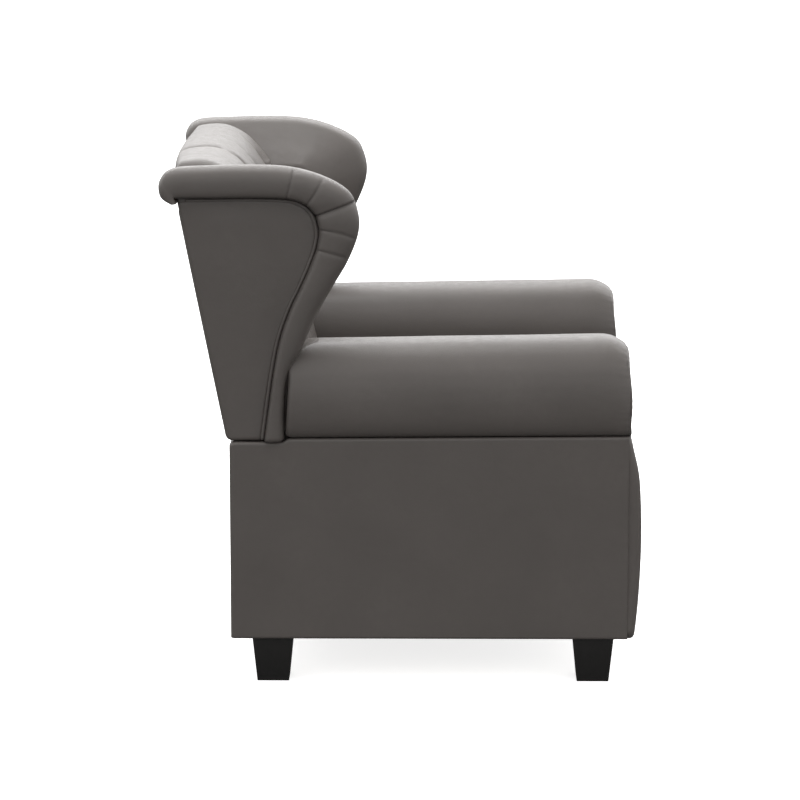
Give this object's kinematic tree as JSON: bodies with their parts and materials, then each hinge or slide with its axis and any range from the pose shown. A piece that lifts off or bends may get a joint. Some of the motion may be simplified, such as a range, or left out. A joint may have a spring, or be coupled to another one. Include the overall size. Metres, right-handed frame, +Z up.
{
  "type": "push-back wing recliner",
  "caption": "Push-back wing recliner: rolled arms, tufted back with padded wings, and a footrest that swings out on parallel links as the back reclines.",
  "frame": {"origin": "centre of the bounding box at floor level, under the middle of the chair", "axes": "+Z up; the chair faces -Y, and +X is towards the sitter's left"},
  "size_m": [0.82, 0.9288, 1.0179],
  "materials": {
    "upholstery": "satin",
    "dark_wood": "satin",
    "frame_wood": "matte",
    "steel": "satin",
    "spring_steel": "satin",
    "fastener": "satin",
    "webbing": "matte"
  },
  "bodies": {
    "base": {"front_left_leg": "dark_wood", "front_right_leg": "dark_wood", "rear_left_leg": "dark_wood", "rear_right_leg": "dark_wood", "leg_bolts": "fastener", "left_arm_frame": "frame_wood", "right_arm_frame": "frame_wood", "left_outside_panel": "upholstery", "right_outside_panel": "upholstery", "left_arm_roll": "upholstery", "right_arm_roll": "upholstery", "left_arm_facing": "upholstery", "right_arm_facing": "upholstery", "front_rail": "frame_wood", "rear_rail": "frame_wood", "rear_base_panel": "upholstery", "left_base_rail": "steel", "right_base_rail": "steel", "base_rail_screws": "fastener"},
    "back": {"back_frame": "frame_wood", "left_back_bracket": "steel", "right_back_bracket": "steel", "back_bracket_bolts": "fastener", "back_webbing": "webbing", "back_cushion": "upholstery", "back_buttons": "upholstery", "rear_back_panel": "upholstery", "left_wing_frame": "frame_wood", "right_wing_frame": "frame_wood", "left_wing_panel": "upholstery", "right_wing_panel": "upholstery", "left_wing_roll": "upholstery", "right_wing_roll": "upholstery", "left_wing_lining": "upholstery", "right_wing_lining": "upholstery"},
    "seat": {"seat_frame": "frame_wood", "seat_springs": "spring_steel", "seat_cushion": "upholstery", "left_seat_rail": "steel", "right_seat_rail": "steel", "seat_rail_bolts": "fastener"},
    "front_hangers": {"left_front_hanger": "steel", "right_front_hanger": "steel"},
    "drive_links": {"left_drive_link": "steel", "right_drive_link": "steel"},
    "links_a": {"left_link_a": "steel", "right_link_a": "steel", "cross_tube": "steel"},
    "links_b": {"left_link_b": "steel", "right_link_b": "steel"},
    "links_c": {"left_link_c": "steel", "right_link_c": "steel"},
    "links_d": {"left_link_d": "steel", "right_link_d": "steel"},
    "footrest": {"footrest_board": "frame_wood", "footrest_pad": "upholstery", "left_footrest_bracket": "steel", "right_footrest_bracket": "steel", "footrest_screws": "fastener"}
  },
  "joints": [
    {"name": "back_recline", "type": "hinge", "parent": "base", "child": "back", "pos_m": [0, 0.312, 0.455], "axis": [-1, 0, 0], "range_deg": [0, 35]},
    {"name": "seat_swing", "type": "hinge", "parent": "back", "child": "seat", "pos_m": [0, 0.30467, 0.31519], "axis": [-1, 0, 0], "range_deg": [-35, 0]},
    {"name": "front_hanger_swing", "type": "hinge", "parent": "base", "child": "front_hangers", "pos_m": [0, -0.0927, 0.455], "axis": [-1, 0, 0], "range_deg": [0, 35]},
    {"name": "drive_link_turn", "type": "hinge", "parent": "front_hangers", "child": "drive_links", "pos_m": [0, -0.10631, 0.19536], "axis": [-1, 0, 0], "range_deg": [-35, 0]},
    {"name": "link_a_turn", "type": "hinge", "parent": "seat", "child": "links_a", "pos_m": [0, -0.292, 0.29999], "axis": [-1, 0, 0], "range_deg": [0, 94.5]},
    {"name": "link_b_turn", "type": "hinge", "parent": "seat", "child": "links_b", "pos_m": [0, -0.33052, 0.33492], "axis": [-1, 0, 0], "range_deg": [0, 94.5]},
    {"name": "link_c_turn", "type": "hinge", "parent": "links_a", "child": "links_c", "pos_m": [0, -0.21178, 0.13551], "axis": [-1, 0, 0], "range_deg": [-94.5, 0]},
    {"name": "link_d_turn", "type": "hinge", "parent": "links_a", "child": "links_d", "pos_m": [0, -0.23589, 0.18495], "axis": [-1, 0, 0], "range_deg": [-94.5, 0]},
    {"name": "footrest_turn", "type": "hinge", "parent": "links_c", "child": "footrest", "pos_m": [0, -0.35794, 0.26804], "axis": [-1, 0, 0], "range_deg": [0, 94.5]}
  ],
  "couplings": [
    {"joint": "seat_swing", "follows": "back_recline", "ratio": -1},
    {"joint": "front_hanger_swing", "follows": "back_recline", "ratio": 1},
    {"joint": "drive_link_turn", "follows": "back_recline", "ratio": -1},
    {"joint": "link_a_turn", "follows": "back_recline", "ratio": 2.7},
    {"joint": "link_b_turn", "follows": "back_recline", "ratio": 2.7},
    {"joint": "link_c_turn", "follows": "back_recline", "ratio": -2.7},
    {"joint": "link_d_turn", "follows": "back_recline", "ratio": -2.7},
    {"joint": "footrest_turn", "follows": "back_recline", "ratio": 2.7}
  ]
}
